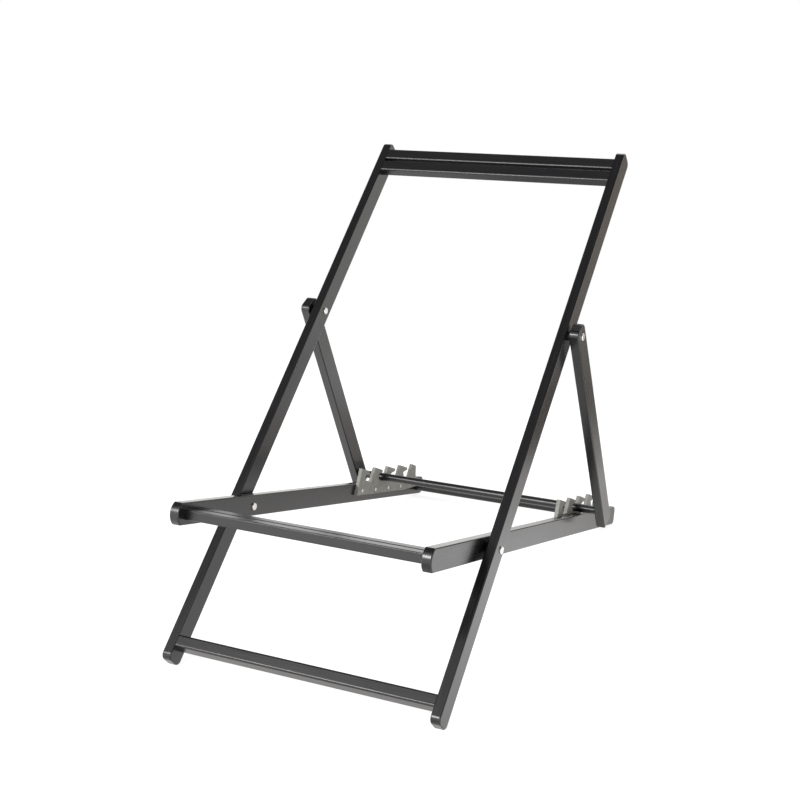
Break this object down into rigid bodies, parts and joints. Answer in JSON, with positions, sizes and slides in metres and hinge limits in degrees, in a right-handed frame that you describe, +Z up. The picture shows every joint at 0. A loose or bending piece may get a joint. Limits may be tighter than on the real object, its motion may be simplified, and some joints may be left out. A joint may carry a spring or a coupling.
{
  "type": "deck chair frame",
  "caption": "Folding wooden deck chair frame with slotted head and seat slats for a sling and a prop bar that drops into notches.",
  "frame": {"origin": "on the floor, under the middle of the open chair's length and width", "axes": "+X to the right as seen from the front, +Y to the rear, +Z up; the chair faces -Y"},
  "size_m": [0.6402, 1.0776, 0.8925],
  "materials": {
    "lacquered_timber": "black lacquer, satin",
    "lacquered_bar": "black lacquer, gloss",
    "rack_casting": "moulded, matt",
    "bolt_steel": "zinc plated",
    "screw_steel": "zinc plated",
    "nylon_washer": "moulded nylon",
    "beech_dowel": "raw beech"
  },
  "bodies": {
    "back_frame": {"long_rail_left": "lacquered_timber", "long_rail_right": "lacquered_timber", "head_slat_upper": "lacquered_timber", "head_slat_lower": "lacquered_timber", "foot_rail": "lacquered_timber", "head_dowels": "beech_dowel", "foot_rail_dowels": "beech_dowel", "seat_pivot_bolt_left": "bolt_steel", "seat_pivot_bolt_right": "bolt_steel", "prop_pivot_bolt_left": "bolt_steel", "prop_pivot_bolt_right": "bolt_steel", "seat_pivot_nuts": "bolt_steel", "prop_pivot_nuts": "bolt_steel", "seat_pivot_washers": "nylon_washer", "prop_pivot_washers": "nylon_washer"},
    "seat_frame": {"seat_rail_left": "lacquered_timber", "seat_rail_right": "lacquered_timber", "seat_slat_front": "lacquered_timber", "seat_slat_rear": "lacquered_timber", "seat_dowels": "beech_dowel", "seat_rear_bar": "lacquered_bar", "notch_rack_left": "rack_casting", "notch_rack_right": "rack_casting", "rack_screws_left": "screw_steel", "rack_screws_right": "screw_steel"},
    "prop_frame": {"prop_strut_left": "lacquered_timber", "prop_strut_right": "lacquered_timber", "prop_bar": "lacquered_bar"}
  },
  "joints": [
    {"name": "seat_fold", "type": "hinge", "parent": "back_frame", "child": "seat_frame", "pos_m": [0, -0.265, 0.23905], "axis": [1, 0, 0], "range_deg": [0, 57.42]},
    {"name": "prop_fold", "type": "hinge", "parent": "back_frame", "child": "prop_frame", "pos_m": [0, 0.09216, 0.56573], "axis": [-1, 0, 0], "range_deg": [0, 69.03]}
  ],
  "couplings": [
    {"joint": "prop_fold", "follows": "seat_fold", "ratio": 1.202}
  ]
}
